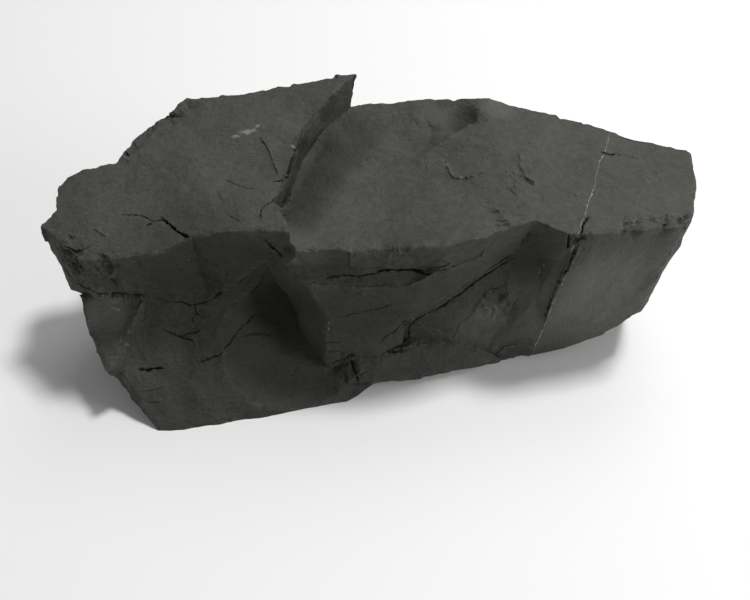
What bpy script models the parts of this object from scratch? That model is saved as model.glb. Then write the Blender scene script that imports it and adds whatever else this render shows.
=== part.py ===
"""A broken lump of dense, dull coal, lying on its flat underside.

The lump is one solid. It is built the way it looks to have broken: a low foot and a long
main block with an upper slab on its left end, joined into one body, then bites, a flute
and a ledge taken out of it along conchoidal fractures.

Sizes are in millimetres and turned into metres by MM. +X runs along the length, +Y runs
from the broken front to the back, +Z is up. The origin is the bottom centre of the lump.
"""
import bmesh
import bpy
from mathutils import Matrix, Vector

MM = 0.001
NAME = "coal_lump"

# The upper slab is a bedding layer, higher at the back and at its right end.
SLAB_DATUM = 61.6
SLAB_RISE_X = 0.17
SLAB_RISE_Y = 0.13
# Its broken outline seen from above, clockwise from the left tip to the horn at the back
# right, down the step beside the scoop to the tooth, then back along the front.
SLAB_LEFT = [(-85.5, -4.5), (-82.5, 1), (-84, 9), (-82.5, 12.5), (-77.5, 14.5)]
SLAB_BACK = [(-68.5, 14.5), (-63.5, 25), (-56.5, 31.5), (-51.5, 36), (-36.5, 34.5), (-25.5, 36), (-12, 36)]
SLAB_HORN = [(-3.5, 36)]
SLAB_STEP = [(-9, 30.5), (-14, 25), (-17.5, 17.5), (-19.5, 10), (-21, 2.5), (-24.5, -4.5), (-22, -8.5)]
SLAB_TOOTH = [(-19.5, -15.5), (-27.5, -14)]
SLAB_RISING_FRONT = [(-38, -13.5)]
SLAB_FRONT = [(-44.5, -13.5), (-52, -16.5), (-61, -17), (-72.5, -17.5)]
# Where the foot of the slab lies under each stretch: its (x, y) shift and its height.
SLAB_STRETCHES = [
    (SLAB_LEFT, (2.5, -4.5), 26),
    (SLAB_BACK, (1, -3), 26),
    (SLAB_HORN, (-14, -3), 26),
    (SLAB_STEP, (-1, 0), 26),
    (SLAB_TOOTH, (0, 1), 43),
    (SLAB_RISING_FRONT, (0, 1), 31.5),
    (SLAB_FRONT, (0, 3.5), 26),
]

# Corner points of the blocks, as the fracture planes leave them.
BLOCK = {
    "scoop side of the top": [(-22, 33, 55.5), (1, 36, 55.5), (19, 36.5, 56.5), (-27, -9, 50)],
    "knob and back edge": [(26, 35, 58), (31, 34.5, 59), (48, 28.5, 57.5), (60, 24.5, 56.5), (74, 21.5, 55)],
    "right end, top": [(87.5, 17, 54), (86, 6.5, 53.5), (83.5, -4.5, 52.5), (81.5, -8, 51.5)],
    "front edge of the top": [(41, -9.5, 55), (50.5, -14, 54), (57, -14, 53.5)],
    "front face, right": [(79, -8.5, 34.5), (76.5, -9, 17), (67.5, -10.5, 8), (54.5, -12.5, 3.5)],
    "front face, left": [(47, -14, 2), (38, -13.5, 0), (10, -13, 10), (-20, -8, 20)],
    "right end, below": [(84, -3, 38), (83.5, 1, 26), (80.5, 4, 9), (73, 4, 2), (84, 14, 24)],
    "left side, under the slab": [(-45, -9, 27), (-31, -8.5, 41), (-45, 0, 42), (-45, 28, 44), (-46, 27, 0)],
    "rest face": [(64, -6, 0), (62, 18, 0), (30, 28, 0), (-22, 29, 0), (-40, -6, 0), (10, -11, 0)],
    "back, bulging": [(62, 24, 36), (18, 36.5, 30), (-22, 35, 34)],
}
MIDDLE_UPPER = {
    "front edge of the scoop": [(-20.5, -18.5, 51.5), (-5, -18, 54.5), (7, -17.5, 54.5), (17, -18, 53.5)],
    "front edge, right": [(28.5, -15, 54), (41.5, -9.5, 55)],
    "front face": [(-18, -20, 46), (-11.5, -19, 28), (10, -16, 22), (19.5, -13.5, 30), (37.5, -10, 40.5)],
    "left side, going back": [(-27.5, -12, 52), (-26.5, -12, 40), (-24.5, -11.5, 28), (-24, 0, 50)],
    "inside the main block": [(0, 0, 22), (32, 0, 42), (36, 0, 54)],
}
MIDDLE_LOWER = {
    "front face": [(-11.5, -19, 30), (-10.5, -19, 8), (2.5, -17.5, 8), (9, -16.5, 11), (10, -16, 23)],
    "left side, going back": [(-24.5, -11.5, 32), (-20, -14.5, 13.5), (-12, -20.5, 5), (-22, 0, 8)],
    "inside the main block": [(10, 0, 10), (10, 0, 24)],
}
TOE = {
    "lower edge, left": [(-6, -24.5, 4), (1.5, -23, 2), (12, -22.5, 2)],
    "lower edge, right": [(20, -20.5, 2), (28, -18.5, 2), (34, -16.5, 2), (38.5, -14, 0)],
    "undercut": [(0, -17, 0), (12, -17.5, 0), (28, -14, 0)],
    "upper edge": [(-8, -19, 7), (11, -15.5, 9), (22, -13.5, 8.5), (35, -13, 4)],
    "inside the main block": [(-10, 0, 0), (38, 0, 0), (20, 0, 8)],
}
FOOT = {
    "bottom edge, left": [(-58.5, -38, 0), (-50.5, -37.5, 0), (-28.5, -30.5, 0)],
    "bottom edge, right": [(-16, -27, 0), (-6.5, -28, 0), (1, -22, 0)],
    "top of the sloping face": [(-79, -12, 28), (-50, -13.5, 26), (-33, -8, 30), (-23, -9, 22), (-7, -22, 5)],
    "left edge": [(-76, -20.5, 21), (-71.5, -26.5, 11)],
    "left end, hidden": [(-79, 6, 30), (-74, 12, 30), (-64, -14, 0), (-62, 12, 0)],
    "back and inside": [(-52, 31, 30), (-46, 27, 0), (-20, 30, 30), (-10, 24, 0), (-8, -10, 0)],
}
FIN = {
    "ridge": [(-61, -14, 28), (-70.5, -30, 17)],
    "left edge": [(-79.5, -12.5, 28.5), (-73.5, -25, 17), (-71, -27.5, 12)],
    "buried": [(-61, -10, 26), (-63, -24, 11), (-70, -8, 24)],
}

# Conchoidal hollows are left by balls. Each has a centre, a radius and a fineness.
SCOOP = ((-7, 1.5, 170.5), 120, 6)
RECESS = ((-17.5, -36, 29.5), 30, 5)
KNOB_HOLLOW = ((20.5, 28.5, 69), 14, 4)
TOOTH_HOLLOW = ((-23, -18, 51.5), 4.6, 3)

# Corner points of the straight cuts.
FLUTE = {
    "deepest line": [(41, -9.5, 58), (38, -9.5, 39), (41, -11.5, 29)],
    "edge against the right face": [(50, -14, 58), (49, -14.3, 44), (48, -15, 28)],
    "fading out lower left": [(14, -12, 58), (10, -12.5, 20), (34, -13.6, 3)],
    "outside": [(14, -26, 58), (52, -26, 58), (48, -26, 27), (10, -26, 18), (34, -26, 2)],
}
# Under the front edge of the scoop a low cliff drops to a ledge that slopes outwards.
LEDGE = {
    "top of the cliff": [(-24, -19.4, 54), (16, -18.4, 57)],
    "foot of the cliff": [(-24, -17.2, 45), (-8, -16.3, 44.2), (8, -15.2, 42), (15, -15, 42.2)],
    "foot of the ledge": [(-24, -21, 41), (-12, -20, 39.5), (10, -17.3, 37.5)],
    "fading out to the right": [(23, -16.5, 47)],
    "outside": [(-24, -26, 54), (16, -24, 56), (-24, -26, 40), (10, -24, 37)],
}

COAL_COLOUR = (0.055, 0.057, 0.052, 1)
COAL_ROUGHNESS = 0.7
MERGE_DISTANCE = 0.03 * MM
PLANAR_ANGLE = 0.01


def clear_scene():
    for item in list(bpy.data.objects):
        bpy.data.objects.remove(item, do_unlink=True)


def new_collection(name):
    collection = bpy.data.collections.new(name)
    bpy.context.scene.collection.children.link(collection)
    return collection


def add_object(name, bm, collection):
    """Turn a bmesh in millimetres into an object in metres."""
    bmesh.ops.transform(bm, matrix=Matrix.Scale(MM, 4), verts=bm.verts)
    bmesh.ops.recalc_face_normals(bm, faces=bm.faces)
    mesh = bpy.data.meshes.new(name)
    bm.to_mesh(mesh)
    bm.free()
    item = bpy.data.objects.new(name, mesh)
    collection.objects.link(item)
    return item


def convex_block(name, corners, collection):
    """A block bounded by flat fracture planes: the hull of its corner points."""
    bm = bmesh.new()
    for corner in corners:
        bm.verts.new(corner)
    hull = bmesh.ops.convex_hull(bm, input=bm.verts)
    unused = [v for v in hull["geom_interior"] if isinstance(v, bmesh.types.BMVert)]
    bmesh.ops.delete(bm, geom=unused, context="VERTS")
    return add_object(name, bm, collection)


def slab_block(name, collection):
    """The upper slab: its outline on the sloping bedding plane, drawn down to a leaner foot."""
    bm = bmesh.new()
    rim = []
    foot = []
    for outline, (lean_x, lean_y), foot_height in SLAB_STRETCHES:
        for x, y in outline:
            top = SLAB_DATUM + SLAB_RISE_X * x + SLAB_RISE_Y * y
            rim.append(bm.verts.new((x, y, top)))
            foot.append(Vector((x + lean_x, y + lean_y, foot_height)))
    top_face = bm.faces.new(rim)
    extruded = bmesh.ops.extrude_face_region(bm, geom=[top_face], use_keep_orig=True)
    lower = [v for v in extruded["geom"] if isinstance(v, bmesh.types.BMVert)]
    for vertex in lower:
        nearest = min(range(len(rim)), key=lambda i: (rim[i].co - vertex.co).length)
        vertex.co = foot[nearest]
    bmesh.ops.triangulate(bm, faces=bm.faces)
    return add_object(name, bm, collection)


def ball(name, centre, radius, subdivisions, collection):
    """A ball that leaves a smooth conchoidal hollow where it bites."""
    bm = bmesh.new()
    bmesh.ops.create_icosphere(bm, subdivisions=subdivisions, radius=radius)
    bmesh.ops.translate(bm, vec=centre, verts=bm.verts)
    return add_object(name, bm, collection)


def combine(target, other, operation):
    modifier = target.modifiers.new(operation.title(), "BOOLEAN")
    modifier.operation = operation
    modifier.solver = "EXACT"
    modifier.object = other
    bpy.context.view_layer.update()
    evaluated = target.evaluated_get(bpy.context.evaluated_depsgraph_get())
    result = bpy.data.meshes.new_from_object(evaluated)
    target.modifiers.clear()
    old = target.data
    target.data = result
    bpy.data.meshes.remove(old)


def corner_list(groups):
    return [corner for group in groups.values() for corner in group]


def tidy_mesh(item):
    """Weld the seams, leave only triangles and put the origin at the bottom centre."""
    bm = bmesh.new()
    bm.from_mesh(item.data)
    bmesh.ops.dissolve_degenerate(bm, edges=bm.edges, dist=MERGE_DISTANCE)
    bmesh.ops.dissolve_limit(bm, angle_limit=PLANAR_ANGLE, verts=bm.verts, edges=bm.edges)
    bmesh.ops.dissolve_degenerate(bm, edges=bm.edges, dist=MERGE_DISTANCE)
    bmesh.ops.triangulate(bm, faces=bm.faces)
    xs = [v.co.x for v in bm.verts]
    ys = [v.co.y for v in bm.verts]
    zs = [v.co.z for v in bm.verts]
    base = Vector(((min(xs) + max(xs)) / 2, (min(ys) + max(ys)) / 2, min(zs)))
    bmesh.ops.translate(bm, vec=-base, verts=bm.verts)
    bm.to_mesh(item.data)
    bm.free()


def coal_material():
    material = bpy.data.materials.new("coal")
    material.use_nodes = True
    shader = material.node_tree.nodes["Principled BSDF"]
    shader.inputs["Base Color"].default_value = COAL_COLOUR
    shader.inputs["Roughness"].default_value = COAL_ROUGHNESS
    shader.inputs["Metallic"].default_value = 0
    material.diffuse_color = COAL_COLOUR
    return material


def main():
    clear_scene()
    parts = new_collection(NAME)
    cutters = new_collection("cutters")

    lump = convex_block(NAME, corner_list(BLOCK), parts)
    combine(lump, convex_block("flute", corner_list(FLUTE), cutters), "DIFFERENCE")
    combine(lump, convex_block("foot", corner_list(FOOT), cutters), "UNION")
    combine(lump, convex_block("fin", corner_list(FIN), cutters), "UNION")
    combine(lump, ball("recess", *RECESS, cutters), "DIFFERENCE")

    combine(lump, convex_block("middle, upper", corner_list(MIDDLE_UPPER), cutters), "UNION")
    combine(lump, convex_block("middle, lower", corner_list(MIDDLE_LOWER), cutters), "UNION")
    combine(lump, convex_block("toe", corner_list(TOE), cutters), "UNION")
    combine(lump, convex_block("ledge", corner_list(LEDGE), cutters), "DIFFERENCE")
    combine(lump, ball("scoop", *SCOOP, cutters), "DIFFERENCE")
    combine(lump, ball("knob hollow", *KNOB_HOLLOW, cutters), "DIFFERENCE")

    combine(lump, slab_block("slab", cutters), "UNION")
    combine(lump, ball("tooth hollow", *TOOTH_HOLLOW, cutters), "DIFFERENCE")

    for item in cutters.objects:
        item.hide_render = True
        item.display_type = "WIRE"
    tidy_mesh(lump)
    lump.data.materials.clear()
    lump.data.materials.append(coal_material())


main()
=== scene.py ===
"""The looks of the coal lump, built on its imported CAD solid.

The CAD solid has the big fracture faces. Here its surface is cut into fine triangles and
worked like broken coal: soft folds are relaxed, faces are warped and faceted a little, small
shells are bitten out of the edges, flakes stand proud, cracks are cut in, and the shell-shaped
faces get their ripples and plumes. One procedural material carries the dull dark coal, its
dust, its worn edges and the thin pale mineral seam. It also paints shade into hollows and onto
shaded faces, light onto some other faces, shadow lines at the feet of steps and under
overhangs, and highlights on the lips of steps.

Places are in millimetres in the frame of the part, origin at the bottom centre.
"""
import math
from collections import namedtuple

import bmesh
import bpy
import numpy as np
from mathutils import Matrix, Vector, kdtree, noise


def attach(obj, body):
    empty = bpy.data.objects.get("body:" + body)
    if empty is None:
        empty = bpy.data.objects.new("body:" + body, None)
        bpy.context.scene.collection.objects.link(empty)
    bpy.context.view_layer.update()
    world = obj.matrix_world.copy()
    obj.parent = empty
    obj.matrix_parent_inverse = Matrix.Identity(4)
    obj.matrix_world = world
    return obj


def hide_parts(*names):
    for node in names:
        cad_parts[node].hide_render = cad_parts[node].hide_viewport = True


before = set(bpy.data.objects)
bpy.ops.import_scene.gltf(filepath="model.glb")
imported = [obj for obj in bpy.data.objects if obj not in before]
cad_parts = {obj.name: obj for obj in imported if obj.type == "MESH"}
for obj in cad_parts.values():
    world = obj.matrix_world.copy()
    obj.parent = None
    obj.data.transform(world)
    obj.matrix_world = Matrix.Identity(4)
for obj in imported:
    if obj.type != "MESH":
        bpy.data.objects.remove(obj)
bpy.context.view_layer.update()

MM = 0.001
NODE = "coal_lump"
# Without a seed of its own, Blender's vector noise changes from run to run.
NOISE_SEED = 3
noise.seed_set(NOISE_SEED)

# ---------------------------------------------------------------- fineness of the mesh
# The longest edges of triangles on open faces, along the edges of faces and along marks. They are
# longer on the rest face and at the back, behind y = BACK_BEHIND and below z = BACK_BELOW.
FACE_SIZE = 1.75
BACK_SIZE = 2.8
REST_SIZE = 5.0
EDGE_SIZE = 0.95
BACK_EDGE_SIZE = 1.8
EDGE_REACH = 0.5
LINE_SIZE = 0.38
LINE_REACH = 0.25
GROWTH = 1.15
FINE_FOLD = 1.5
SHARP_ANGLE = math.radians(30)
SHADE_SHARP_ANGLE = math.radians(42)
REFINE_PASSES = 16
CLOSING_PASSES = 4
BACK_BEHIND = 18
BACK_BELOW = 48
WELD = 1e-6
COPLANAR_ANGLE = 0.01
ON_FLOOR = 0.05
FLAT_BELOW = 1.2

# ---------------------------------------------------------------- marks on the surface
# A mark lies on the "top" faces, with a route in (x, y), or on the "front", in (x, z).
Crack = namedtuple("Crack", "side route width depth")
# A step stands proud by rise on the left of its route, or on the right where rise is negative,
# and dies away over reach.
Step = namedtuple("Step", "side route rise reach")
# A fold is a smooth rib along its route, or a smooth valley where rise is negative.
Fold = namedtuple("Fold", "side route width rise")
Scratch = namedtuple("Scratch", "side route width")
# A plume is a patch of ripples and streaks about the point where the break began.
Plume = namedtuple("Plume", "side start middle radius wave ripple streak")
# A swell lifts or lowers the surface around a point.
Swell = namedtuple("Swell", "centre radius rise")

CRACKS = [
    Crack("top", [(-66, -2.5), (-60, -4), (-56, -6.5)], 0.14, 0.4),
    Crack("top", [(-58, -7.5), (-56, -6.5), (-54, -6), (-52, -8), (-49.5, -10.5), (-46, -13)], 0.4, 1.5),
    Crack("top", [(-84, -8), (-79, -11), (-76.5, -12.5), (-74, -13), (-72, -11.5)], 0.2, 0.6),
    Crack("top", [(-22, -3), (-25, -3.5), (-28, -7), (-28, -10)], 0.18, 0.6),
    Crack("top", [(-39, 5), (-34.5, 2.5), (-30.5, 0.5)], 0.1, 0.25),
    Crack("top", [(-40, 0), (-38, -2)], 0.1, 0.25),
    Crack("top", [(-36, -7.5), (-33, -10.5)], 0.1, 0.25),
    Crack("top", [(-26, 3.2), (-21.5, 3.6)], 0.3, 0.8),
    Crack("top", [(61.5, 15), (65, 14.5)], 0.35, 1.0),
    Crack("top", [(65, 14.5), (71, 13.5)], 0.12, 0.3),
    Crack("top", [(73, 9), (75, 8.5)], 0.2, 0.3),
    Crack("top", [(54, -8), (52.2, -10.7), (51, -13)], 0.35, 1.0),
    Crack("top", [(3, -6), (7, -7)], 0.1, 0.25),
    Crack("top", [(48, 0.5), (56, -2.5)], 0.1, 0.2),
    # The next crack is painted shadow as well as a groove: it paints the dark gap under the overhanging
    # front of the slab near black.
    Crack("front", [(-79, 31.6), (-74, 31.2), (-70, 31), (-66, 31.3), (-61.5, 30.2)], 1.1, 2.2),
    Crack("front", [(-61, 29.4), (-55, 26.9), (-48.7, 25.8), (-44.6, 26.4)], 0.12, 0.5),
    Crack("front", [(-44.6, 26.4), (-40.5, 28.5), (-36, 33), (-32.6, 37)], 0.12, 0.5),
    Crack("front", [(-48.7, 25.8), (-48.9, 23.8)], 0.15, 0.4),
    Crack("front", [(-33.9, 25.8), (-30.7, 27), (-29.5, 31)], 0.18, 0.6),
    Crack("front", [(-49.5, 14), (-43, 15), (-36.5, 18), (-31, 18.5)], 0.14, 0.5),
    Crack("front", [(-37, 16), (-33, 14.5), (-28.5, 12)], 0.14, 0.4),
    Crack("front", [(-65, 13), (-61, 12.8), (-58, 13)], 0.4, 0.9),
    Crack("front", [(-57.5, 21), (-54.5, 20), (-50, 18.5)], 0.2, 0.6),
    Crack("front", [(-53.5, 20), (-47.5, 20.6)], 0.14, 0.4),
    Crack("front", [(-63, 8.5), (-58, 9)], 0.14, 0.3),
    Crack("front", [(-62.5, 6), (-58, 6.5)], 0.14, 0.3),
    Crack("front", [(-9.5, 26.5), (-5, 26.7), (-1.5, 28), (5.5, 30)], 0.15, 0.5),
    Crack("front", [(12, 20), (8, 21.5), (5, 17), (1.5, 13)], 0.15, 0.5),
    Crack("front", [(-13, 41.6), (-5, 41.4), (1, 41)], 0.2, 0.6),
    # The next crack is painted shadow as well as a groove: it paints the dark line under the ledge of
    # the band near black.
    Crack("front", [(1, 41.5), (5, 42), (9, 41.8), (13, 41)], 0.5, 1.3),
    Crack("front", [(13, 41), (16, 42.5), (21, 44)], 0.2, 0.6),
    Crack("front", [(37.5, 39.5), (29, 33), (23.5, 27), (19, 23), (14, 20.5)], 0.18, 0.8),
    Crack("front", [(14, 20.5), (10.5, 16), (10, 8.5)], 0.2, 0.7),
    Crack("front", [(10, 8.5), (5.5, 8.3), (-4, 8.5)], 0.2, 0.6),
    Crack("front", [(48.5, 53), (49, 49)], 0.45, 1.2),
    Crack("front", [(-28, 52.5), (-25.5, 49.5), (-22.5, 46)], 0.35, 1.0),
    Crack("front", [(-8.5, 8.6), (-5.5, 6), (-4, 1.5)], 0.25, 0.6),
    Crack("front", [(-13, 12), (-9.5, 11.5)], 0.2, 0.5),
    Crack("front", [(-12.5, 16), (-9.5, 15.7)], 0.25, 0.6),
]
STEPS = [
    Step("top", [(-25.5, 3), (-25.5, 5.5), (-26.5, 10), (-28.5, 15), (-31, 19.5)], -0.5, 5.0),
    Step("top", [(-74, -8.5), (-71, -7.5), (-67.5, -9.5)], 0.4, 3.0),
    Step("top", [(-46, -13), (-52, -8), (-56, -6.5), (-66, -2.5)], 0.3, 6.0),
    Step("top", [(10.5, 31.5), (11.5, 28.5), (13, 26.5), (16, 27.5)], 0.2, 3.0),
    Step("top", [(19, 15), (20, 9), (21.5, 6.5), (26.5, 5.5), (31, 8)], 0.55, 3.5),
    Step("top", [(19, 16), (15, 13.5), (13.5, 7)], 0.15, 3.0),
    Step("top", [(38.5, 15), (38, 9), (40, 3.5), (43, 1)], 0.45, 2.2),
    Step("top", [(42, 1), (41.5, 7), (41, 14)], 0.22, 2.2),
    Step("top", [(34, -7.5), (31, -5.5)], 0.3, 2.0),
    Step("top", [(42.5, -2), (39.5, -1)], 0.25, 1.6),
    Step("top", [(56, 5), (51, 4), (48, 8)], 0.15, 3.0),
    Step("top", [(40, 19), (45, 16), (48, 19)], 0.12, 3.0),
    Step("top", [(79, -4.5), (73, -6), (67, -8.5), (61, -10)], -0.35, 3.0),
    Step("front", [(19, 52), (17.5, 47), (21, 43.5), (27, 45), (29, 50)], -0.45, 3.0),
    Step("front", [(-20, 41.5), (-11, 40.5), (-4, 41.2), (-2, 38.8)], 0.5, 2.5),
    Step("front", [(-9, 38), (-4, 36.8), (-2, 34.5)], 0.4, 3.0),
    Step("front", [(35, 1.5), (38, 6.5), (43, 8), (46.5, 6.5)], -0.4, 4.0),
    Step("front", [(-83, 34), (-74, 35.5), (-66, 33.5), (-58, 34)], 0.6, 2.5),
    Step("front", [(-82, 39), (-75, 41), (-69, 39.5)], 0.7, 2.5),
    Step("front", [(-80, 43.5), (-73, 44.8), (-66, 43.5)], 0.5, 2.0),
    Step("front", [(41, 32), (31.3, 28.7), (25, 16.6), (22, 7)], 0.25, 8.0),
    Step("front", [(51.5, 52), (49.6, 38), (48.6, 28), (47.6, 16)], 1.3, 9.0),
    Step("front", [(-6, 53), (-6.5, 47), (-6, 43.5)], 0.5, 5.0),
    Step("front", [(5, 53), (4, 48), (4.5, 43.5)], -0.45, 5.0),
]
FOLDS = [
    Fold("front", [(-61, 29), (-64.5, 24.5), (-68, 18), (-70, 13)], 0.8, 0.45),
    Fold("front", [(-59.5, 27), (-62, 20), (-66, 12)], 1.6, -0.4),
    Fold("top", [(30, 28), (22.3, 22), (15.9, 17.5), (11.2, 12.6)], 3.0, 2.1),
    Fold("top", [(17.5, 29), (14.5, 22), (9, 16)], 4.5, -2.0),
    Fold("top", [(28, 29), (24, 26.5), (20, 24.5)], 2.2, -0.7),
    Fold("top", [(2, 22), (-4, 12), (-12, 6)], 2.0, 0.35),
    Fold("top", [(5, 28), (-6, 20)], 1.6, -0.3),
    Fold("top", [(-55, 26), (-48, 16), (-45, 6)], 3.5, 0.5),
    Fold("front", [(41, 46), (44, 36), (45.5, 22)], 3.2, -1.2),
    Fold("top", [(-22, -4), (-21, 4), (-18.5, 13), (-15, 21), (-11, 27)], 6.0, -2.2),
    Fold("front", [(36.5, 37), (37, 28), (33, 21)], 1.2, 0.5),
]
SCRATCHES = [
    Scratch("top", [(-37, 19.5), (-33, 21.5), (-29.5, 23)], 1.2),
    Scratch("top", [(-21.8, 14.5), (-21, 13.5)], 0.45),
    Scratch("top", [(23, 6.3), (26.6, 5.6)], 0.3),
    Scratch("top", [(18.8, 14), (20.2, 10)], 0.22),
    Scratch("front", [(-69, 24), (-66.6, 20)], 0.35),
    Scratch("front", [(-72, 27), (-68.5, 26.5)], 0.3),
    Scratch("front", [(-12, 25), (-12.3, 14)], 0.25),
    Scratch("front", [(46, 47), (43.5, 35)], 0.2),
]
PLUMES = [
    Plume("front", (-66, 40), (-44, 21), 12.0, 2.6, 0.12, 0.35),
    Plume("front", (18, 46), (33, 24), 9.0, 2.4, 0.06, 0.60),
    Plume("front", (52, 44), (22, 24), 8.0, 2.2, 0.10, 0.35),
    Plume("front", (-300, -20), (2, 30), 16.0, 1.7, 0.0, 0.16),
    Plume("front", (-2, 60), (14, 5), 12.0, 1.6, 0.20, 0.35),
    Plume("front", (20, -60), (70, 25), 22.0, 9.0, 0.10, 0.25),
    Plume("top", (-30, 40), (0, 15), 20.0, 5.5, 0.15, 0.15),
    Plume("top", (60, 40), (48, 20), 14.0, 4.2, 0.08, 0.12),
    Plume("top", (-90, -5), (-45, 10), 24.0, 6.5, 0.10, 0.15),
]
SWELLS = [
    Swell((3, -17, 53), 9.0, 1.2),
    Swell((-15, -18, 52), 5.0, -0.7),
    Swell((-45, -20, 20), 10.0, -0.4),
    Swell((-28, -9, 21), 7.0, -2.0),
    Swell((60, -12, 25), 14.0, -0.7),
    Swell((-60, 5, 52), 16.0, 0.5),
    Swell((60, 5, 54), 14.0, 0.4),
    Swell((33, 30, 59), 5.0, 0.5),
    Swell((25, 27, 56), 4.6, -1.6),
]
# Crumbled places are (centre, radius, strength).
CRUMBLES = [
    ((66, -10, 52.5), 5.0, 0.9),
    ((73, -7.5, 52.5), 5.0, 0.9),
    ((80, -6, 52), 4.0, 0.7),
    ((50.5, -12, 52), 3.5, 1.0),
    ((-77, -13, 45), 7.0, 1.0),
    ((-68, -16, 45), 6.0, 1.0),
    ((-60, -17, 46), 4.0, 0.6),
    ((-84, -4, 44), 5.0, 0.8),
    ((20, -16, 49), 5.0, 0.5),
    ((8, -17, 47), 6.0, 0.4),
    ((-2, -17, 48), 5.0, 0.4),
    ((14, -16, 47), 5.0, 0.35),
    ((-9, -18, 7), 6.0, 1.0),
    ((-4, -22, 5), 4.0, 0.9),
    ((43, -13, 3), 5.0, 0.4),
    ((-66, 16, 53), 4.0, 0.8),
    ((83, -6, 40), 6.0, 0.7),
    ((-19, -17, 49), 4.0, 0.6),
    ((38, 4, 56), 8.0, 0.35),
    ((32, -8, 55), 6.0, 0.45),
    ((-66, 18, 53), 5.0, 1.0),
    ((-61, 25, 54.5), 5.0, 1.0),
    ((-56, 30, 56), 5.0, 0.9),
    ((-51, 34, 57), 4.0, 0.5),
    ((-22, -15, 49), 5.0, 0.7),
    ((-79, -9, 36), 6.0, 0.9),
    ((-68, -15, 39), 6.0, 0.7),
]
# Dust lies on level faces, and more of it in the places listed here: (centre, radius, strength).
# Some places are painted light in the dust colour: they make the right front face, the left face
# of the fin and the front of the knob paler, as if lit more strongly.
DUST_ON_TOP = 0.16
DUST_TURN = (0.5, 0.9)
DUST_AND_PAINTED_LIGHT_PLACES = [
    ((60, -11, 26), 28.0, 0.6),
    ((-73, -15, 26), 10.0, 1.0),
    ((34, 31, 59), 8.0, 0.45),
    ((70, 12, 54), 20.0, 0.15),
    ((-15, 28, 62), 16.0, 0.15),
    ((32, -12, 14), 13.0, 0.35),
    ((-15, -17, 50), 7.0, 0.2),
    ((-21, -15, 49), 5.0, 0.45),
    ((33, -12, 19), 9.0, 0.6),
]
# Places of painted shade are (centre, radius, strength): there the coal is painted darker and
# loses its dust, in the hollow under the slab, on the slab's wall and along its foot, in the
# flute and on front faces that would otherwise be lit too brightly.
PAINTED_SHADE_PLACES = [
    ((-28, -9, 20), 11.0, 1.0),
    ((-24, -14, 12), 9.0, 0.8),
    ((-18, -14, 30), 13.0, 0.6),
    ((-48, -12, 41), 22.0, 0.7),
    ((-33, -12, 44), 11.0, 0.6),
    ((-4, -17, 28), 20.0, 0.7),
    ((14, -15, 34), 14.0, 0.4),
    ((-40, -26, 8), 38.0, 0.5),
    ((41, -10, 41), 13.0, 0.7),
    ((-19, -3, 51), 10.0, 0.8),
    ((-18, 4, 51), 11.0, 0.8),
    ((-15, 11, 51), 12.0, 0.8),
    ((-11, 18, 52), 12.0, 0.75),
    ((-6, 25, 53), 11.0, 0.6),
    ((-9, 25, 59), 8.0, 1.0),
    ((-16, 15, 56), 8.0, 1.0),
    ((-22, 4, 54), 5.0, 0.8),
    ((25, 28, 56.5), 6.0, 0.7),
    ((9, -16, 50), 12.0, 0.4),
]
# Soft places are (centre, radius, rounds): there the folds between faces are relaxed.
SOFT_PLACES = [
    ((-30, -17, 14), 22.0, 50),
    ((-20, -24, 5), 10.0, 40),
    ((20.5, 26, 55), 8.0, 12),
    ((22, 2, 54), 16.0, 60),
    ((36, 16, 56), 14.0, 60),
    ((28, -11, 17), 12.0, 40),
    ((60, -12, 20), 14.0, 40),
    ((0, -18, 42), 5.0, 8),
    ((80, 2, 25), 12.0, 30),
]
RELAX_STEP = 0.5
RELAX_EVERYWHERE = 1

# ---------------------------------------------------------------- how the marks are drawn
# Marks stray from their routes by a sum of layers: (grain size, shift of the noise, strength).
JAGS = [(3.1, 31.7, 0.5), (0.9, 12.1, 0.2)]
STRAY_REACH = 4
FOLD_STRAY = 0.5
PLUME_STRAY = 0.5
SCRATCH_STRAY = 0.4
# The foot and lip of a step, and every scratch, are broken up by a noise.
BREAKUP_GRAIN = 1.3
BREAKUP_SHIFT = 4.4

# The ends of steps and folds die away over a share of the route.
END_FADE = 0.2
STEP_SLOPE = (-0.12, 0.18)
# A step has a broken dark line of painted shadow at its foot and a broken pale line of painted
# highlight on its lip.
FOOT_AT = -0.2
FOOT_WIDTH = (0.4, 0.1)
FOOT_BREAKS = (-0.1, 0.3)
FOOT_SHADOW = 0.8
LIP_AT = 0.35
LIP_WIDTH = (0.45, 0.1)
LIP_BREAKS = (0.0, 0.3)
LIP_HIGHLIGHT = 0.3

SCRATCH_BREAKS = (-0.05, 0.4)
SCRATCH_PALENESS = 0.5

CRACK_END_FADE = 0.15
CRACK_END_DEPTH = 0.3
CRACK_LEAST_WIDTH = 0.08
# A crack's width is its own times a mean, give or take the breakup times a spread.
CRACK_WIDTH_MEAN = 0.75
CRACK_WIDTH_SPREAD = 0.9
CRACK_BOTTOM = 0.2
CRACK_BLACK_DEPTH = 1.2
CRACK_LEAST_DARKNESS = 0.4

# The ripples of a plume are waves, bent a little, each with its crest near its far side. The
# streaks fan out from where the break began.
PLUME_BEND_GRAIN = 7.0
PLUME_BEND_SHIFT = 7.3
RIPPLE_BEND = 1.2
RIPPLE_CREST = 0.75
RIPPLE_MEAN = 0.4
FAN_BEND = 0.12
STREAK_WIDTH = 0.55
STREAK_LENGTH = 4
STREAK_SHIFT = 2.7
STREAK_MEAN = 0.35

# ---------------------------------------------------------------- warps of the whole surface
# Each warp is (grain size, strength) in millimetres.
WARPS = [(19.0, 0.8), (7.0, 0.34), (2.6, 0.14)]
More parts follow.
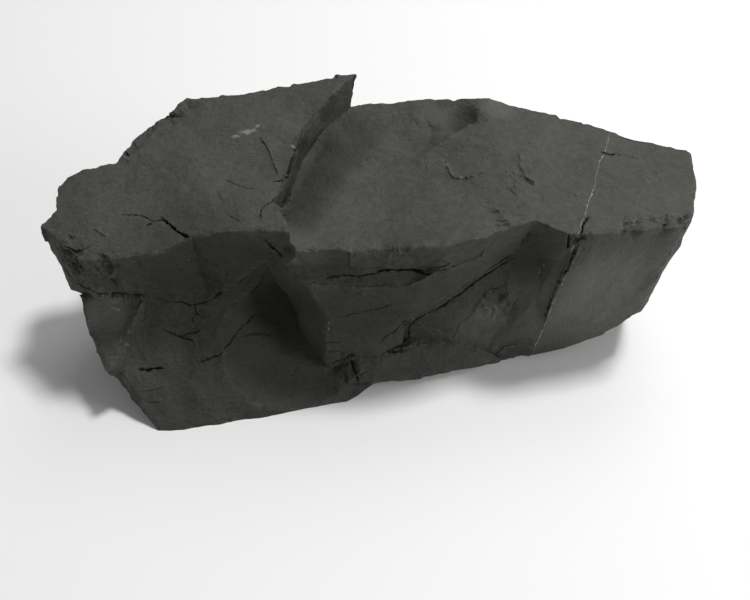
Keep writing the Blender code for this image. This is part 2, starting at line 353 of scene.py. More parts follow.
# Each set of facets is (grain size, height, blend), blend being the softness of the creases.
FACETS = [(13.0, 0.40, 0.09), (5.0, 0.14, 0.05)]
CRUMBLE_FACETS = [(3.0, 1.1, 0.02), (1.5, 0.45, 0.03)]
CRUMBLE_LOSS = 0.2
EDGE_FACETS = (3.3, 0.45, 0.03)
CRUMBLE_SEED = 20
EDGE_SEED = 40
# A swell reaches this many times its radius.
SWELL_SPREAD = 1.6
GRAIN_SIZE = 0.9
GRAIN_HEIGHT = 0.06
GRAIN_SHIFT = 5.0
# The back is rougher by this much, fading in over a range of y and out over a range of z.
BACK_ROUGHNESS = 1.6
BACK_ROUGH_FROM = (12, 24)
BACK_ROUGH_TO = (50, 38)
# Soft places are less faceted, and their edges less worn.
SOFT_CALM = 0.5
SOFT_EDGE = 0.8

# Bites are small shells broken out of the ridges at random, though none near the floor.
BITE_SEED = 7
BITE_COUNT = 110
BITE_RADIUS = (1.0, 3.0)
BITE_DEPTH = (0.05, 0.22)
BITE_TILT = 0.35
BITE_FLOOR_GAP = 9.0
SCAR_REACH = 2.5
SCAR_WEAR = 0.5
WORN_REACH = 1.4
EDGE_ROUNDING = 0.18

# Bedding shows as fine level ridges on the front of the slab: (x range), (z range).
BEDDING_WAVE = 1.9
BEDDING_HEIGHT = 0.24
BEDDING_X = (-86, -26)
BEDDING_X_FADES = (5, 12)
BEDDING_Z = (28, 47)
BEDDING_Z_FADES = (3, 5)
BEDDING_BEND = 1.3
BEDDING_BEND_GRAIN = 3.0
BEDDING_BEND_SHIFT = 2.1
BEDDING_STRETCH = (0.25, 0.25, 1)

# ---------------------------------------------------------------- the mineral seam
# It fills one steep joint plane right through the lump.
SEAM_POINT = (46.5, -13.2, 2.5)
SEAM_NORMAL = (0.935, -0.344, -0.087)
SEAM_HALF_WIDTH = 0.12


# ---------------------------------------------------------------- small tools
# Marks and places are at full strength out to this share of their radius.
FULL_SHARE = 0.3
# The scattering of numbers over cells takes the broken part of a large sine.
SCATTER_MIX = (127.1, 311.7, 74.7)
SCATTER_SEED = 19.19
SCATTER_SINE = 43758.5453
TILT_SEED = 11


def smoothstep(edge0, edge1, x):
    """0 at the first edge and 1 at the second, smooth between them."""
    t = np.clip((x - edge0) / (edge1 - edge0), 0, 1)
    return t * t * (3 - 2 * t)


def band(limits, fades, x):
    """1 between two limits, fading to 0 at each of them over its own width."""
    low, high = limits
    return smoothstep(low, low + fades[0], x) * smoothstep(high, high - fades[1], x)


def unit(vectors):
    return vectors / np.maximum(np.linalg.norm(vectors, axis=-1, keepdims=True), 1e-12)


def near(points, centre, radius):
    """1 around the centre, falling to 0 at the radius."""
    return smoothstep(radius, radius * FULL_SHARE, np.linalg.norm(points - np.array(centre), axis=1))


def strongest(points, places):
    """The strength at each point of the strongest place around it."""
    most = np.zeros(len(points))
    for centre, radius, strength in places:
        most = np.maximum(most, strength * near(points, centre, radius))
    return most


def noise_at(points, grain, shift):
    """A smoothly changing random number at each point, between about -1 and 1."""
    return np.array([noise.noise(Vector(p)) for p in points / grain + shift])


def noise_vectors(points, grain, shift):
    """A smoothly changing random vector at each point."""
    if not len(points):
        return np.zeros((0, 3))
    return np.array([noise.noise_vector(Vector(p)) for p in points / grain + shift])


def scatter(cells, seed):
    """Three numbers from 0 to 1 for each whole-numbered cell, always the same ones."""
    mix = cells @ np.array(SCATTER_MIX) + seed * SCATTER_SEED
    mixes = np.stack([mix, mix * 1.37 + 3.1, mix * 0.73 + 8.7], axis=-1)
    value = np.sin(mixes) * SCATTER_SINE
    return value - np.floor(value)


def facets(points, grain, height, blend, seed):
    """Flat tilted facets about scattered sites, meeting in creases."""
    p = points / grain
    base = np.floor(p)
    total = np.zeros(len(p))
    weights = np.zeros(len(p))
    for dx in (-1, 0, 1):
        for dy in (-1, 0, 1):
            for dz in (-1, 0, 1):
                cell = base + (dx, dy, dz)
                gap = p - (cell + scatter(cell, seed))
                tilt = scatter(cell, seed + TILT_SEED) * 2 - 1
                plane = (gap * tilt).sum(axis=1) + tilt[:, 0] * 0.5
                weight = np.exp(-(gap**2).sum(axis=1) / blend)
                total += weight * plane
                weights += weight
    return height * total / np.maximum(weights, 1e-30)


# ---------------------------------------------------------------- the triangles
def cad_arrays(item):
    """The CAD solid as welded points in millimetres and outward triangles."""
    bm = bmesh.new()
    bm.from_mesh(item.data)
    bmesh.ops.remove_doubles(bm, verts=bm.verts, dist=WELD)
    bmesh.ops.triangulate(bm, faces=bm.faces)
    flat = [e for e in bm.edges if len(e.link_faces) == 2 and e.calc_face_angle() < COPLANAR_ANGLE]
    bmesh.ops.beautify_fill(bm, faces=bm.faces, edges=flat, method="ANGLE")
    points = np.array([v.co for v in bm.verts]) / MM
    triangles = np.array([[v.index for v in f.verts] for f in bm.faces])
    bm.free()
    return points, triangles


def face_normals(points, triangles):
    """Normals as long as twice each triangle's area."""
    a, b, c = (points[triangles[:, i]] for i in range(3))
    return np.cross(b - a, c - a)


def vertex_normals(points, triangles):
    """Unit normals of the points, by the area of the triangles around each."""
    weighted = face_normals(points, triangles)
    normals = np.zeros_like(points)
    for corner in range(3):
        np.add.at(normals, triangles[:, corner], weighted)
    return unit(normals)


def edge_table(triangles):
    """Unique edges, and for each triangle the rows of its three edges."""
    sides = np.concatenate([triangles[:, [0, 1]], triangles[:, [1, 2]], triangles[:, [2, 0]]])
    sides.sort(axis=1)
    keys = sides[:, 0] * (triangles.max() + 1) + sides[:, 1]
    _, first, rows = np.unique(keys, return_index=True, return_inverse=True)
    return sides[first], rows.reshape(3, len(triangles)).T


def sharp_edge_samples(points, triangles):
    """Points strung along the sharp ridges, with the way out of each, and along inner corners."""
    edges, rows = edge_table(triangles)
    normals = unit(face_normals(points, triangles))
    owners = [[] for _ in edges]
    for face, row in enumerate(rows):
        for edge in row:
            owners[edge].append(face)
    ridges, outward, corners = [], [], []
    for (a, b), faces in zip(edges, owners):
        first, second = faces[0], faces[-1]
        if normals[first] @ normals[second] > math.cos(SHARP_ANGLE):
            continue
        far = points[triangles[second]].mean(axis=0) - points[triangles[first]].mean(axis=0)
        is_ridge = normals[first] @ far < 0
        steps = int(np.linalg.norm(points[b] - points[a]) / EDGE_SIZE) + 2
        for t in np.linspace(0, 1, steps):
            place = points[a] + t * (points[b] - points[a])
            if is_ridge:
                ridges.append(place)
                outward.append(normals[first] + normals[second])
            else:
                corners.append(place)
    return np.array(ridges), unit(np.array(outward)), np.array(corners)


def tree_of(samples):
    tree = kdtree.KDTree(len(samples))
    for i, sample in enumerate(samples):
        tree.insert(Vector(sample), i)
    tree.balance()
    return tree


def distance_to(tree, points):
    """Distance from each point to the nearest sample in the tree."""
    return np.array([tree.find(Vector(p))[2] for p in points])


def refine(points, triangles, size_at):
    """Halve every edge that is longer than the size wanted there, until none is left."""
    for _ in range(REFINE_PASSES):
        edges, rows = edge_table(triangles)
        middle = (points[edges[:, 0]] + points[edges[:, 1]]) / 2
        length = np.linalg.norm(points[edges[:, 0]] - points[edges[:, 1]], axis=1)
        split = length > REST_SIZE
        unsure = (length > LINE_SIZE) & ~split
        split[unsure] = length[unsure] > size_at(middle[unsure])
        if not split.any():
            break
        # A triangle with any split edge has its longest one split too, so none gets thin.
        longest = rows[np.arange(len(rows)), length[rows].argmax(axis=1)]
        for _ in range(CLOSING_PASSES):
            touched = split[rows].any(axis=1)
            split[longest[touched]] = True
        new_row = np.full(len(edges), -1)
        new_row[split] = len(points) + np.arange(split.sum())
        points = np.concatenate([points, middle[split]])
        triangles = split_triangles(triangles, new_row[rows], points)
    return points, triangles


def split_triangles(triangles, mids, points):
    """Replace each triangle by 1, 2, 3 or 4, by how many of its edges have a new middle."""
    count = (mids >= 0).sum(axis=1)
    out = [triangles[count == 0]]
    whole = count == 3
    a, b, c = triangles[whole].T
    ab, bc, ca = mids[whole].T
    out += [np.stack(t, axis=1) for t in ((a, ab, ca), (ab, b, bc), (ca, bc, c), (ab, bc, ca))]
    for start in range(3):
        order = [(start + k) % 3 for k in range(3)]
        one = (count == 1) & (mids[:, start] >= 0)
        a, b, c = triangles[one][:, order].T
        ab = mids[one][:, start]
        out += [np.stack(t, axis=1) for t in ((a, ab, c), (ab, b, c))]
        two = (count == 2) & (mids[:, order[2]] < 0)
        a, b, c = triangles[two][:, order].T
        ab, bc = mids[two][:, order[0]], mids[two][:, order[1]]
        across_ab = np.linalg.norm(points[ab] - points[c], axis=1)
        across_bc = np.linalg.norm(points[a] - points[bc], axis=1)
        short = across_ab < across_bc
        out.append(np.stack((ab, b, bc), axis=1))
        out.append(np.stack((a, ab, np.where(short, c, bc)), axis=1))
        out.append(np.stack((np.where(short, ab, a), bc, c), axis=1))
    return np.concatenate(out)


def relax(points, triangles, rounds, strength):
    """Draw each point towards the middle of its neighbours, by its strength, many times."""
    edges, _ = edge_table(triangles)
    both = np.concatenate([edges, edges[:, ::-1]])
    both = both[strength[both[:, 0]] > 0]
    count = np.maximum(np.bincount(both[:, 0], minlength=len(points)), 1)
    for _ in range(rounds):
        for axis in range(3):
            total = np.bincount(both[:, 0], points[both[:, 1], axis], len(points))
            points[:, axis] += strength * (total / count - points[:, axis])
    return points


# ---------------------------------------------------------------- where the marks are
# Each side has its own part of the lump, its own plan, and normals that turn towards it.
TOP_ABOVE = 42
FRONT_BEFORE = -5
PLAN = {"top": [0, 1], "front": [0, 2]}
TOP_TURN = (0.3, 0.5)
FRONT_TURN = (0.2, 0.4)
FAR_AWAY = 1e9


def jagged(points):
    """How far a mark strays from its smooth route at each point."""
    return sum(noise_vectors(points, grain, shift) * strength for grain, shift, strength in JAGS)


def in_reach(side, points):
    return points[:, 2] > TOP_ABOVE if side == "top" else points[:, 1] < FRONT_BEFORE


def facing(side, points, normals):
    """1 where the surface turns well towards a side, 0 where it turns away or is out of reach."""
    if side == "top":
        return smoothstep(*TOP_TURN, normals[:, 2]) * in_reach(side, points)
    return smoothstep(*FRONT_TURN, -normals[:, 1]) * in_reach(side, points)


def route_distance(flat, route):
    """Distance from flat points to a route, the side they lie on, and how far along they are."""
    best = np.full(len(flat), FAR_AWAY)
    side = np.zeros(len(flat))
    along = np.zeros(len(flat))
    done = 0.0
    total = sum(math.dist(a, b) for a, b in zip(route, route[1:]))
    for start, end in zip(route, route[1:]):
        start, end = np.array(start, float), np.array(end, float)
        way = end - start
        length = np.linalg.norm(way)
        t = np.clip(((flat - start) @ way) / length**2, 0, 1)
        gap = flat - (start + t[:, None] * way)
        distance = np.linalg.norm(gap, axis=1)
        closer = distance < best
        best[closer] = distance[closer]
        cross = way[0] * gap[:, 1] - way[1] * gap[:, 0]
        side[closer] = np.sign(cross[closer])
        along[closer] = (done + t[closer] * length) / total
        done += length
    return best, side, along


def nearest_mark(points, strayed):
    """Distance from each strayed point to the nearest fine mark on its side."""
    nearest = np.full(len(points), FAR_AWAY)
    for side in PLAN:
        use = np.nonzero(in_reach(side, points))[0]
        flat = strayed[use][:, PLAN[side]]
        for mark in CRACKS + STEPS + SCRATCHES + [f for f in FOLDS if f.width < FINE_FOLD]:
            if mark.side == side:
                nearest[use] = np.minimum(nearest[use], route_distance(flat, mark.route)[0])
    return nearest


def mark_distance(points):
    """Distance from any point to the nearest fine mark, where it really runs."""
    nearest = nearest_mark(points, points)
    close = nearest < STRAY_REACH
    nearest[close] = nearest_mark(points[close], points[close] + jagged(points[close]))
    return nearest


def hidden(points):
    """Whether each point is at the back, out of the photo's sight."""
    return (points[:, 1] > BACK_BEHIND) & (points[:, 2] < BACK_BELOW)


def wanted_size(tree):
    """A function that gives the longest edge allowed at each point."""
    def size_at(points):
        behind = hidden(points)
        size = np.where(behind, BACK_SIZE, FACE_SIZE)
        size[points[:, 2] < ON_FLOOR] = REST_SIZE
        from_edge = np.maximum(distance_to(tree, points) - EDGE_REACH, 0)
        edge_size = np.where(behind | (points[:, 2] < ON_FLOOR), BACK_EDGE_SIZE, EDGE_SIZE)
        size = np.minimum(size, edge_size + GROWTH * from_edge)
        from_mark = np.maximum(mark_distance(points) - LINE_REACH, 0)
        return np.minimum(size, LINE_SIZE + GROWTH * from_mark)
    return size_at


# ---------------------------------------------------------------- working the surface
class Relief:
    """Heights along the normals, how dark each point is from cracks and from painted shadow at the
    feet of steps, and how pale from scratches and from painted highlights on their lips.
    """

    def __init__(self, points, normals):
        self.points = points
        self.height = np.zeros(len(points))
        self.crack = np.zeros(len(points))
        self.pale_and_highlight = np.zeros(len(points))
        self.stray = jagged(points)
        self.breakup = noise_at(points, BREAKUP_GRAIN, BREAKUP_SHIFT)
        self.masks = {side: facing(side, points, normals) for side in PLAN}

    def plan(self, mark, stray=1):
        """The points on a mark's side, where they lie in its plan, and how much they face it."""
        use = np.nonzero(self.masks[mark.side] > 0)[0]
        flat = (self.points[use] + stray * self.stray[use])[:, PLAN[mark.side]]
        return use, flat, self.masks[mark.side][use]

    def darken(self, use, amount):
        self.crack[use] = np.maximum(self.crack[use], amount)

    def pale_over(self, use, amount):
        self.pale_and_highlight[use] = np.maximum(self.pale_and_highlight[use], amount)

    def add_step(self, step):
        use, flat, mask = self.plan(step)
        distance, side, along = route_distance(flat, step.route)
        ends = smoothstep(0, END_FADE, along) * smoothstep(1, 1 - END_FADE, along) * mask
        signed = distance * side * np.sign(step.rise)
        rise = abs(step.rise)
        lifted = smoothstep(*STEP_SLOPE, signed) * np.exp(-np.maximum(signed, 0) / step.reach)
        self.height[use] += ends * rise * lifted
        # The dark foot line is painted shadow and the pale lip line is a painted highlight.
        foot = ends * smoothstep(*FOOT_WIDTH, np.abs(signed - FOOT_AT))
        foot *= smoothstep(*FOOT_BREAKS, self.breakup[use])
        self.darken(use, FOOT_SHADOW * rise * foot)
        lip = ends * smoothstep(*LIP_WIDTH, np.abs(signed - LIP_AT))
        lip *= smoothstep(*LIP_BREAKS, self.breakup[use])
        self.pale_over(use, LIP_HIGHLIGHT * rise * lip)

    def add_fold(self, fold):
        use, flat, mask = self.plan(fold, FOLD_STRAY)
        distance, _, along = route_distance(flat, fold.route)
        ends = smoothstep(0, END_FADE, along) * smoothstep(1, 1 - END_FADE, along) * mask
        self.height[use] += ends * fold.rise * np.exp(-distance / fold.width)

    def add_plume(self, plume):
        use, flat, mask = self.plan(plume, PLUME_STRAY)
        away = flat - np.array(plume.start)
        reach = np.linalg.norm(away, axis=1)
        patch = near(flat, plume.middle, plume.radius) * mask
        bend = noise_at(self.points[use], PLUME_BEND_GRAIN, PLUME_BEND_SHIFT)
        phase = reach / plume.wave + RIPPLE_BEND * bend
        saw = phase - np.floor(phase)
        ripples = np.sqrt(saw) * smoothstep(1, RIPPLE_CREST, saw) - RIPPLE_MEAN
        self.height[use] += patch * plume.ripple * ripples
        angle = np.arctan2(away[:, 1], away[:, 0]) + FAN_BEND * bend
        across = angle * reach.mean() / (plume.wave * STREAK_WIDTH)
        outward = reach / (plume.wave * STREAK_LENGTH)
        fan = np.stack([across, outward, np.zeros(len(use))], axis=1)
        streaks = np.abs(noise_at(fan, 1.0, STREAK_SHIFT)) * 2
        self.height[use] += patch * plume.streak * (STREAK_MEAN - np.minimum(streaks, 1))

    def add_scratch(self, scratch):
        use, flat, _ = self.plan(scratch, SCRATCH_STRAY)
        distance, _, _ = route_distance(flat, scratch.route)
        line = SCRATCH_PALENESS * smoothstep(scratch.width, scratch.width * FULL_SHARE, distance)
        line *= smoothstep(*SCRATCH_BREAKS, self.breakup[use])
        self.pale_over(use, line)

    def add_crack(self, crack):
        use, flat, mask = self.plan(crack)
        distance, _, along = route_distance(flat, crack.route)
        ends = (1 - CRACK_END_DEPTH) * smoothstep(0, CRACK_END_FADE, along)
        ends = CRACK_END_DEPTH + ends * smoothstep(1, 1 - CRACK_END_FADE, along)
        width = crack.width * (CRACK_WIDTH_MEAN + CRACK_WIDTH_SPREAD * self.breakup[use])
        width += CRACK_LEAST_WIDTH
        groove = smoothstep(width, width * CRACK_BOTTOM, distance) * mask
        self.height[use] -= groove * crack.depth * ends
        darkness = CRACK_LEAST_DARKNESS + (1 - CRACK_LEAST_DARKNESS) * ends
        self.darken(use, groove * smoothstep(0, CRACK_BLACK_DEPTH, crack.depth) * darkness)


def carved_marks(points, normals):
    """The relief with every step, fold, plume, scratch and crack in it."""
    relief = Relief(points, normals)
    for step in STEPS:
        relief.add_step(step)
    for fold in FOLDS:
        relief.add_fold(fold)
    for plume in PLUMES:
        relief.add_plume(plume)
    for scratch in SCRATCHES:
        relief.add_scratch(scratch)
    for crack in CRACKS:
        relief.add_crack(crack)
    return relief


def bedding(points, normals):
    """Heights of the fine level ridges on the front of the slab."""
    x, _, z = points.T
    inside = band(BEDDING_X, BEDDING_X_FADES, x) * band(BEDDING_Z, BEDDING_Z_FADES, z)
    bend = noise_at(points * BEDDING_STRETCH, BEDDING_BEND_GRAIN, BEDDING_BEND_SHIFT)
    level = z / BEDDING_WAVE + BEDDING_BEND * bend
    return BEDDING_HEIGHT * inside * facing("front", points, normals) * np.sin(level * 2 * math.pi)


def bite_edges(points, ridges, outward):
    """Press small shell-shaped hollows into the sharp ridges."""
    random = np.random.default_rng(BITE_SEED)
    scars = np.zeros(len(points))
    high = np.nonzero(ridges[:, 2] > BITE_FLOOR_GAP)[0]
    for pick in random.choice(high, BITE_COUNT, replace=False):
        radius = BITE_RADIUS[0] + (BITE_RADIUS[1] - BITE_RADIUS[0]) * random.random() ** 2
        depth = BITE_DEPTH[0] + (BITE_DEPTH[1] - BITE_DEPTH[0]) * random.random() ** 1.5
        way = unit(outward[pick] + random.normal(0, BITE_TILT, 3))
        centre = ridges[pick] + way * (radius - depth)
        gap = points - centre
        distance = np.linalg.norm(gap, axis=1)
        inside = np.nonzero(distance < radius)[0]
        push = np.minimum(radius - distance[inside], depth)
        points[inside] += gap[inside] / distance[inside, None] * push[:, None]
        scars[inside] = 1
    return scars


def relaxed(points, triangles, floor):
    """The points with their folds relaxed in the soft places, and how soft each point is."""
    softness = np.zeros(len(points))
    for centre, radius, rounds in SOFT_PLACES:
        strength = RELAX_STEP * near(points, centre, radius) * ~floor
        points = relax(points, triangles, rounds, strength)
        softness = np.maximum(softness, near(points, centre, radius))
    points = relax(points, triangles, RELAX_EVERYWHERE, RELAX_STEP * ~floor)
    return points, softness


def all_heights(relief, normals, softness, edge, crumble):
    """The height of each point along its normal, with the marks and every layer of roughness."""
    points = relief.points
    height = relief.height + bedding(points, normals)
    for swell in SWELLS:
        height += swell.rise * near(points, swell.centre, swell.radius * SWELL_SPREAD)
    behind = smoothstep(*BACK_ROUGH_FROM, points[:, 1]) * smoothstep(*BACK_ROUGH_TO, points[:, 2])
    calm = (1 - SOFT_CALM * softness) * (1 + BACK_ROUGHNESS * behind)
    for seed, (grain, rise, blend) in enumerate(FACETS):
        height += calm * facets(points, grain, rise, blend, seed)
    for seed, (grain, rise, blend) in enumerate(CRUMBLE_FACETS):
        broken = facets(points, grain, rise, blend, seed + CRUMBLE_SEED)
        height += crumble * (broken - CRUMBLE_LOSS * rise)
    height += edge * (facets(points, *EDGE_FACETS, EDGE_SEED) - EDGE_ROUNDING)
    return height + GRAIN_HEIGHT * noise_at(points, GRAIN_SIZE, GRAIN_SHIFT)


def worked_surface():
    """The finished points and triangles, and the attributes that the material reads."""
    points, triangles = cad_arrays(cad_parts[NODE])
    ridges, outward, corners = sharp_edge_samples(points, triangles)
    edge_tree = tree_of(np.concatenate([ridges, corners]))
    points, triangles = refine(points, triangles, wanted_size(edge_tree))
    to_ridge = distance_to(tree_of(ridges), points)
    rest, softness = relaxed(points, triangles, points[:, 2] < ON_FLOOR)
    normals = vertex_normals(rest, triangles)
    edge = smoothstep(WORN_REACH, 0.0, to_ridge) * (1 - SOFT_EDGE * softness)
    crumble = strongest(rest, CRUMBLES)

    relief = carved_marks(rest, normals)
    height = all_heights(relief, normals, softness, edge, crumble)
    moved = rest + normals * height[:, None]
    scars = bite_edges(moved, ridges, outward)
    for grain, strength in WARPS:
        moved += noise_vectors(rest, grain, grain) * strength

    # The rest face stays flat: only its plan outline is worked.
    settle = smoothstep(0, FLAT_BELOW, rest[:, 2])
    moved[:, 2] = np.maximum(rest[:, 2] + settle * (moved[:, 2] - rest[:, 2]), 0)

    # Painted shade in hollows and on shaded faces, which also clears the dust there; the dust also holds
    # painted light on some faces.
    painted_shade = strongest(rest, PAINTED_SHADE_PLACES)
    dust_and_painted_light = DUST_ON_TOP * smoothstep(*DUST_TURN, normals[:, 2])
    dust_and_painted_light = np.maximum(dust_and_painted_light, strongest(rest, DUST_AND_PAINTED_LIGHT_PLACES))
    # Beside real cracks and scratches, the darkness holds painted shadow at the feet of steps and the
    # paleness painted highlights on their lips; the dust holds painted light on some faces, and the
    # painted shade darkens hollows and shaded faces and clears their dust.
    attributes = {
        "crack": relief.crack,
        "pale_and_highlight": relief.pale_and_highlight,
        "wear": np.maximum(edge, SCAR_WEAR * scars * smoothstep(SCAR_REACH, 0, to_ridge)),
        "crumble": crumble,
        "dust_and_painted_light": dust_and_painted_light * (1 - painted_shade),
        "painted_shade": painted_shade,
    }
    return moved, triangles, attributes


def make_piece(name, points, triangles, attributes):
    """An object with these triangles, and with an attribute for each list of values."""
    mesh = bpy.data.meshes.new(name)
    mesh.from_pydata((points * MM).tolist(), [], triangles.tolist())
    mesh.update()
    for label, values in attributes.items():
        layer = mesh.attributes.new(label, "FLOAT", "POINT")
        layer.data.foreach_set("value", values.astype(np.float32))
    mesh.polygons.foreach_set("use_smooth", np.ones(len(mesh.polygons), bool))
    mesh.set_sharp_from_angle(angle=SHADE_SHARP_ANGLE)
    piece = bpy.data.objects.new(name, mesh)
    bpy.context.scene.collection.objects.link(piece)
    return piece


# ---------------------------------------------------------------- the coal
COAL_DARK = (0.0235, 0.0253, 0.0205, 1)
COAL_LIGHT = (0.0405, 0.043, 0.0352, 1)
COAL_BROWN = (0.036, 0.032, 0.027, 1)
# Dust, and painted light on some faces.
DUST_AND_LIGHT_COLOUR = (0.105, 0.107, 0.097, 1)
COAL_SPECK = (0.14, 0.14, 0.13, 1)
# Painted shade for hollows and shaded faces.
PAINTED_SHADE_COLOUR = (0.0075, 0.0081, 0.0065, 1)
# Cracks and painted shadow at the feet of steps and under overhangs; pale scratches and painted
# highlights on the lips of steps.
CRACK_AND_SHADOW_COLOUR = (0.004, 0.004, 0.004, 1)
PALE_AND_HIGHLIGHT_COLOUR = (0.26, 0.26, 0.245, 1)
SEAM_COLOUR = (0.36, 0.33, 0.24, 1)

# A grain is (size in millimetres, detail, roughness) of a noise. A range is the two values of a
# noise or an attribute between which a colour comes in, and a share is how much of it comes in.
CLOUD_GRAIN = (14.0, 5, 0.6)
CLOUD_SHARE = 0.3
MOTTLE_GRAIN = (1.8, 6, 0.72)
TONE_RANGE = (0.38, 0.62)
BROWN_GRAIN = (8.0, 4, 0.6)
BROWN_RANGE = (0.55, 0.75)
BROWN_SHARE = 0.5
SPECK_GRAIN = (0.38, 3, 0.75)
SPECK_RANGE = (0.56, 0.76)
SPECK_SHARE = 0.4
# How much of the painted shade comes in.
PAINTED_SHADE_SHARE = 0.78
WEAR_GRAIN = (2.2, 5, 0.7)
WEAR_RANGE = (0.45, 0.7)
RUBBLE_RANGE = (0.5, 0.72)
LOOSE_SHARE = 0.5
FILM_LEAST = 0.45
FILM_MOTTLE = 0.9
CRACK_AND_SHADOW_RANGE = (0.1, 0.8)

SEAM_GRAIN = (9.0, 5, 0.6)
SEAM_BEND = 2.6
SEAM_BREAK_GRAIN = (1.6, 3, 0.7)
SEAM_BREAK_RANGE = (0.45, 0.65)
SEAM_HAIRLINE = 0.02
SEAM_SOFTNESS = (-0.05, 0.05)
SEAM_SHARE = 0.65

# The finish is dull everywhere, a little duller where the mottle is light.
ROUGHNESS_LEAST = 0.44
ROUGHNESS_MOTTLE = 0.35
SPECULAR_LEVEL = 0.3
# The fine relief is three noises added up, one of them drawn out along x.
RELIEF_GRAIN = (1.1, 6, 0.72)
FINE_GRAIN = (0.3, 3, 0.65)
FINE_SHARE = 0.35
STREAK_GRAIN = (0.8, 3, 0.6)
STREAK_STRETCH = (0.25, 0.8, 1.0)
STREAK_SHARE = 0.55
BUMP_STRENGTH = 0.85
BUMP_HEIGHT = 0.7 * MM


class Graph:
    """A short way to write a node tree."""

    def __init__(self, material):
        material.use_nodes = True
        self.tree = material.node_tree
        self.shader = self.tree.nodes["Principled BSDF"]

    def node(self, kind, inputs=None, **settings):
        made = self.tree.nodes.new(kind)
        for key, value in settings.items():
            setattr(made, key, value)
        for key, value in (inputs or {}).items():
            self.feed(made.inputs[key], value)
        return made

    def feed(self, socket, value):
        if isinstance(value, bpy.types.NodeSocket):
            self.tree.links.new(value, socket)
        else:
            socket.default_value = value

    def math(self, operation, a, b=0.0):
        return self.node("ShaderNodeMath", {0: a, 1: b}, operation=operation).outputs[0]

    def times(self, a, b):
        return self.math("MULTIPLY", a, b)

    def plus(self, a, b):
        return self.math("ADD", a, b)

    def vector(self, operation, a, b, output="Vector"):
        made = self.node("ShaderNodeVectorMath", {0: a, 1: b}, operation=operation)
        return made.outputs[output]

    def ramp(self, value, limits):
        """0 below the first limit, 1 above the second, smooth between them."""
        inputs = {"Value": value, "From Min": limits[0], "From Max": limits[1]}
        made = self.node("ShaderNodeMapRange", inputs, interpolation_type="SMOOTHSTEP")
        return made.outputs["Result"]

    def noise(self, vector, grain):
        size, detail, roughness = grain
        inputs = {"Vector": vector, "Scale": 1 / size, "Detail": detail, "Roughness": roughness}
        return self.node("ShaderNodeTexNoise", inputs).outputs["Fac"]

    def mix(self, factor, a, b):
        made = self.node("ShaderNodeMix", data_type="RGBA")
        self.feed(made.inputs["Factor"], factor)
        self.feed(made.inputs["A"], a)
        self.feed(made.inputs["B"], b)
        return made.outputs["Result"]

    def attribute(self, name):
        return self.node("ShaderNodeAttribute", attribute_name=name).outputs["Fac"]


def seam_mask(graph, mm):
    """1 in the mineral seam, which wavers about its plane and swells from a hairline."""
    across = graph.vector("DOT_PRODUCT", graph.vector("SUBTRACT", mm, SEAM_POINT), SEAM_NORMAL, "Value")
    bend = graph.times(graph.math("SUBTRACT", graph.noise(mm, SEAM_GRAIN), 0.5), SEAM_BEND)
    distance = graph.math("ABSOLUTE", graph.plus(across, bend))
    swollen = graph.ramp(graph.noise(mm, SEAM_BREAK_GRAIN), SEAM_BREAK_RANGE)
    half_width = graph.plus(graph.times(swollen, SEAM_HALF_WIDTH), SEAM_HAIRLINE)
    return graph.ramp(graph.math("SUBTRACT", half_width, distance), SEAM_SOFTNESS)


def dust_and_light_mask(graph, mm, mottle):
    """How much dust shows on worn edges, in crumbled places and as a film, the film also painting light
    on some faces.
    """
    worn = graph.times(graph.attribute("wear"), graph.ramp(graph.noise(mm, WEAR_GRAIN), WEAR_RANGE))
    rubble = graph.times(graph.attribute("crumble"), graph.ramp(mottle, RUBBLE_RANGE))
    loose = graph.times(graph.math("MAXIMUM", worn, rubble), LOOSE_SHARE)
    film_and_painted_light = graph.times(graph.attribute("dust_and_painted_light"), graph.plus(graph.times(mottle, FILM_MOTTLE), FILM_LEAST))
    return graph.math("MAXIMUM", loose, film_and_painted_light)


def coal_colour(graph, mm, mottle):
    """Mottled dark coal under its specks, painted shade, dust with painted light, pale marks with
    painted highlights, cracks with painted shadow lines, and the seam.
    """
    cloud = graph.times(graph.noise(mm, CLOUD_GRAIN), CLOUD_SHARE)
    tone = graph.plus(cloud, graph.times(mottle, 1 - CLOUD_SHARE))
    colour = graph.mix(graph.ramp(tone, TONE_RANGE), COAL_DARK, COAL_LIGHT)
    brown = graph.times(graph.ramp(graph.noise(mm, BROWN_GRAIN), BROWN_RANGE), BROWN_SHARE)
    colour = graph.mix(brown, colour, COAL_BROWN)
    specks = graph.times(graph.ramp(graph.noise(mm, SPECK_GRAIN), SPECK_RANGE), SPECK_SHARE)
    colour = graph.mix(specks, colour, COAL_SPECK)
    # Painted shade: hollows and shaded faces are painted near black.
    colour = graph.mix(graph.times(graph.attribute("painted_shade"), PAINTED_SHADE_SHARE), colour, PAINTED_SHADE_COLOUR)
    # Dust, with painted light on some faces.
    colour = graph.mix(dust_and_light_mask(graph, mm, mottle), colour, DUST_AND_LIGHT_COLOUR)
    # Pale scratches with painted highlights on the lips of steps, then cracks with painted shadow at the
    # feet of steps and under overhangs.
    colour = graph.mix(graph.attribute("pale_and_highlight"), colour, PALE_AND_HIGHLIGHT_COLOUR)
    colour = graph.mix(graph.ramp(graph.attribute("crack"), CRACK_AND_SHADOW_RANGE), colour, CRACK_AND_SHADOW_COLOUR)
    return graph.mix(graph.times(seam_mask(graph, mm), SEAM_SHARE), colour, SEAM_COLOUR)


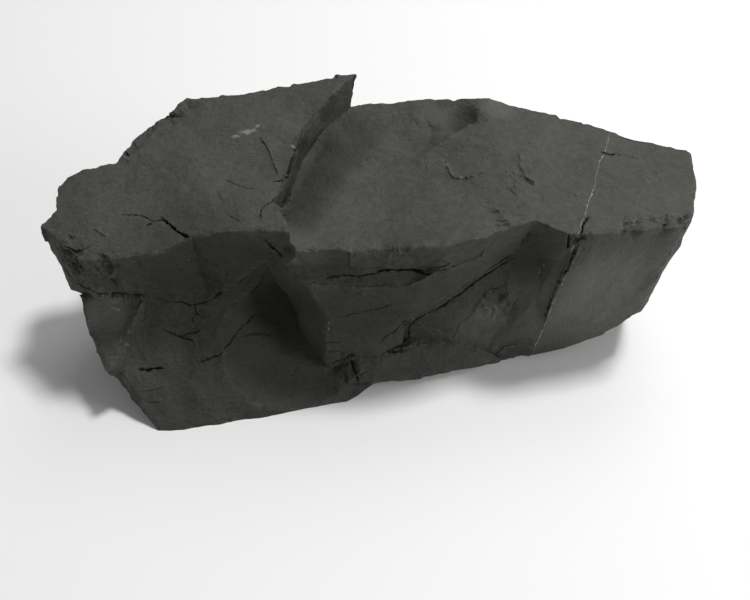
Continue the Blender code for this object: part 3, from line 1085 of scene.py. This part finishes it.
def fine_relief(graph, mm):
    """The normal of the shader, roughened by the finest relief."""
    drawn_out = graph.vector("MULTIPLY", mm, STREAK_STRETCH)
    streaks = graph.times(graph.noise(drawn_out, STREAK_GRAIN), STREAK_SHARE)
    fine = graph.plus(graph.times(graph.noise(mm, FINE_GRAIN), FINE_SHARE), streaks)
    relief = graph.plus(graph.noise(mm, RELIEF_GRAIN), fine)
    inputs = {"Height": relief, "Strength": BUMP_STRENGTH, "Distance": BUMP_HEIGHT}
    return graph.node("ShaderNodeBump", inputs).outputs["Normal"]


def coal_material():
    material = bpy.data.materials.new("dull_coal")
    graph = Graph(material)
    place = graph.node("ShaderNodeTexCoord").outputs["Object"]
    mm = graph.vector("MULTIPLY", place, (1 / MM, 1 / MM, 1 / MM))
    mottle = graph.noise(mm, MOTTLE_GRAIN)
    graph.feed(graph.shader.inputs["Base Color"], coal_colour(graph, mm, mottle))
    roughness = graph.plus(graph.times(mottle, ROUGHNESS_MOTTLE), ROUGHNESS_LEAST)
    graph.feed(graph.shader.inputs["Roughness"], roughness)
    graph.feed(graph.shader.inputs["Specular IOR Level"], SPECULAR_LEVEL)
    graph.feed(graph.shader.inputs["Normal"], fine_relief(graph, mm))
    return material


# ---------------------------------------------------------------- the set
# The camera's place in millimetres, and the degrees by which it looks down.
VIEW_FROM = (0.5, -170, 215)
VIEW_DOWN = 50
LENS_MM = 43.2
SENSOR_MM = 36
FLOOR_HALF = 3.0
FLOOR_COLOUR = (0.64, 0.64, 0.637, 1)
FLOOR_ROUGHNESS = 0.9
SKY_STRENGTH = 0.3
# Each lamp is (place in metres, width in metres, power in watts) and looks at AIM.
LAMPS = [
    ((0.345, 0.195, 1.026), 0.16, 10.6),
    ((0.22, 0.575, 0.91), 0.55, 2.8),
    ((0.62, -0.2, 0.22), 0.25, 2.6),
]
AIM = (0, 0, 0.03)


def make_camera():
    camera = bpy.data.objects.new("camera", bpy.data.cameras.new("camera"))
    camera.data.lens = LENS_MM
    camera.data.sensor_width = SENSOR_MM
    camera.location = Vector(VIEW_FROM) * MM
    camera.rotation_euler = (math.radians(90 - VIEW_DOWN), 0, 0)
    bpy.context.scene.collection.objects.link(camera)
    bpy.context.scene.camera = camera


def make_floor():
    corners = [(x * FLOOR_HALF, y * FLOOR_HALF, 0) for x, y in ((-1, -1), (1, -1), (1, 1), (-1, 1))]
    mesh = bpy.data.meshes.new("floor")
    mesh.from_pydata(corners, [], [(0, 1, 2, 3)])
    floor = bpy.data.objects.new("floor", mesh)
    bpy.context.scene.collection.objects.link(floor)
    material = bpy.data.materials.new("pale_floor")
    material.use_nodes = True
    shader = material.node_tree.nodes["Principled BSDF"]
    shader.inputs["Base Color"].default_value = FLOOR_COLOUR
    shader.inputs["Roughness"].default_value = FLOOR_ROUGHNESS
    mesh.materials.append(material)


def make_light():
    world = bpy.data.worlds.new("soft_sky")
    world.use_nodes = True
    background = world.node_tree.nodes["Background"]
    background.inputs["Color"].default_value = (1, 1, 1, 1)
    background.inputs["Strength"].default_value = SKY_STRENGTH
    bpy.context.scene.world = world
    for number, (place, width, power) in enumerate(LAMPS):
        lamp = bpy.data.lights.new(f"lamp_{number}", "AREA")
        lamp.size = width
        lamp.energy = power
        item = bpy.data.objects.new(f"lamp_{number}", lamp)
        item.location = place
        item.rotation_euler = (Vector(AIM) - Vector(place)).to_track_quat("-Z", "Y").to_euler()
        bpy.context.scene.collection.objects.link(item)


bpy.context.scene.view_settings.view_transform = "Standard"
make_camera()
make_floor()
make_light()

lump = make_piece("lump_surface", *worked_surface())
lump.data.materials.append(coal_material())
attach(lump, "root")
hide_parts(NODE)

bpy.context.view_layer.update()
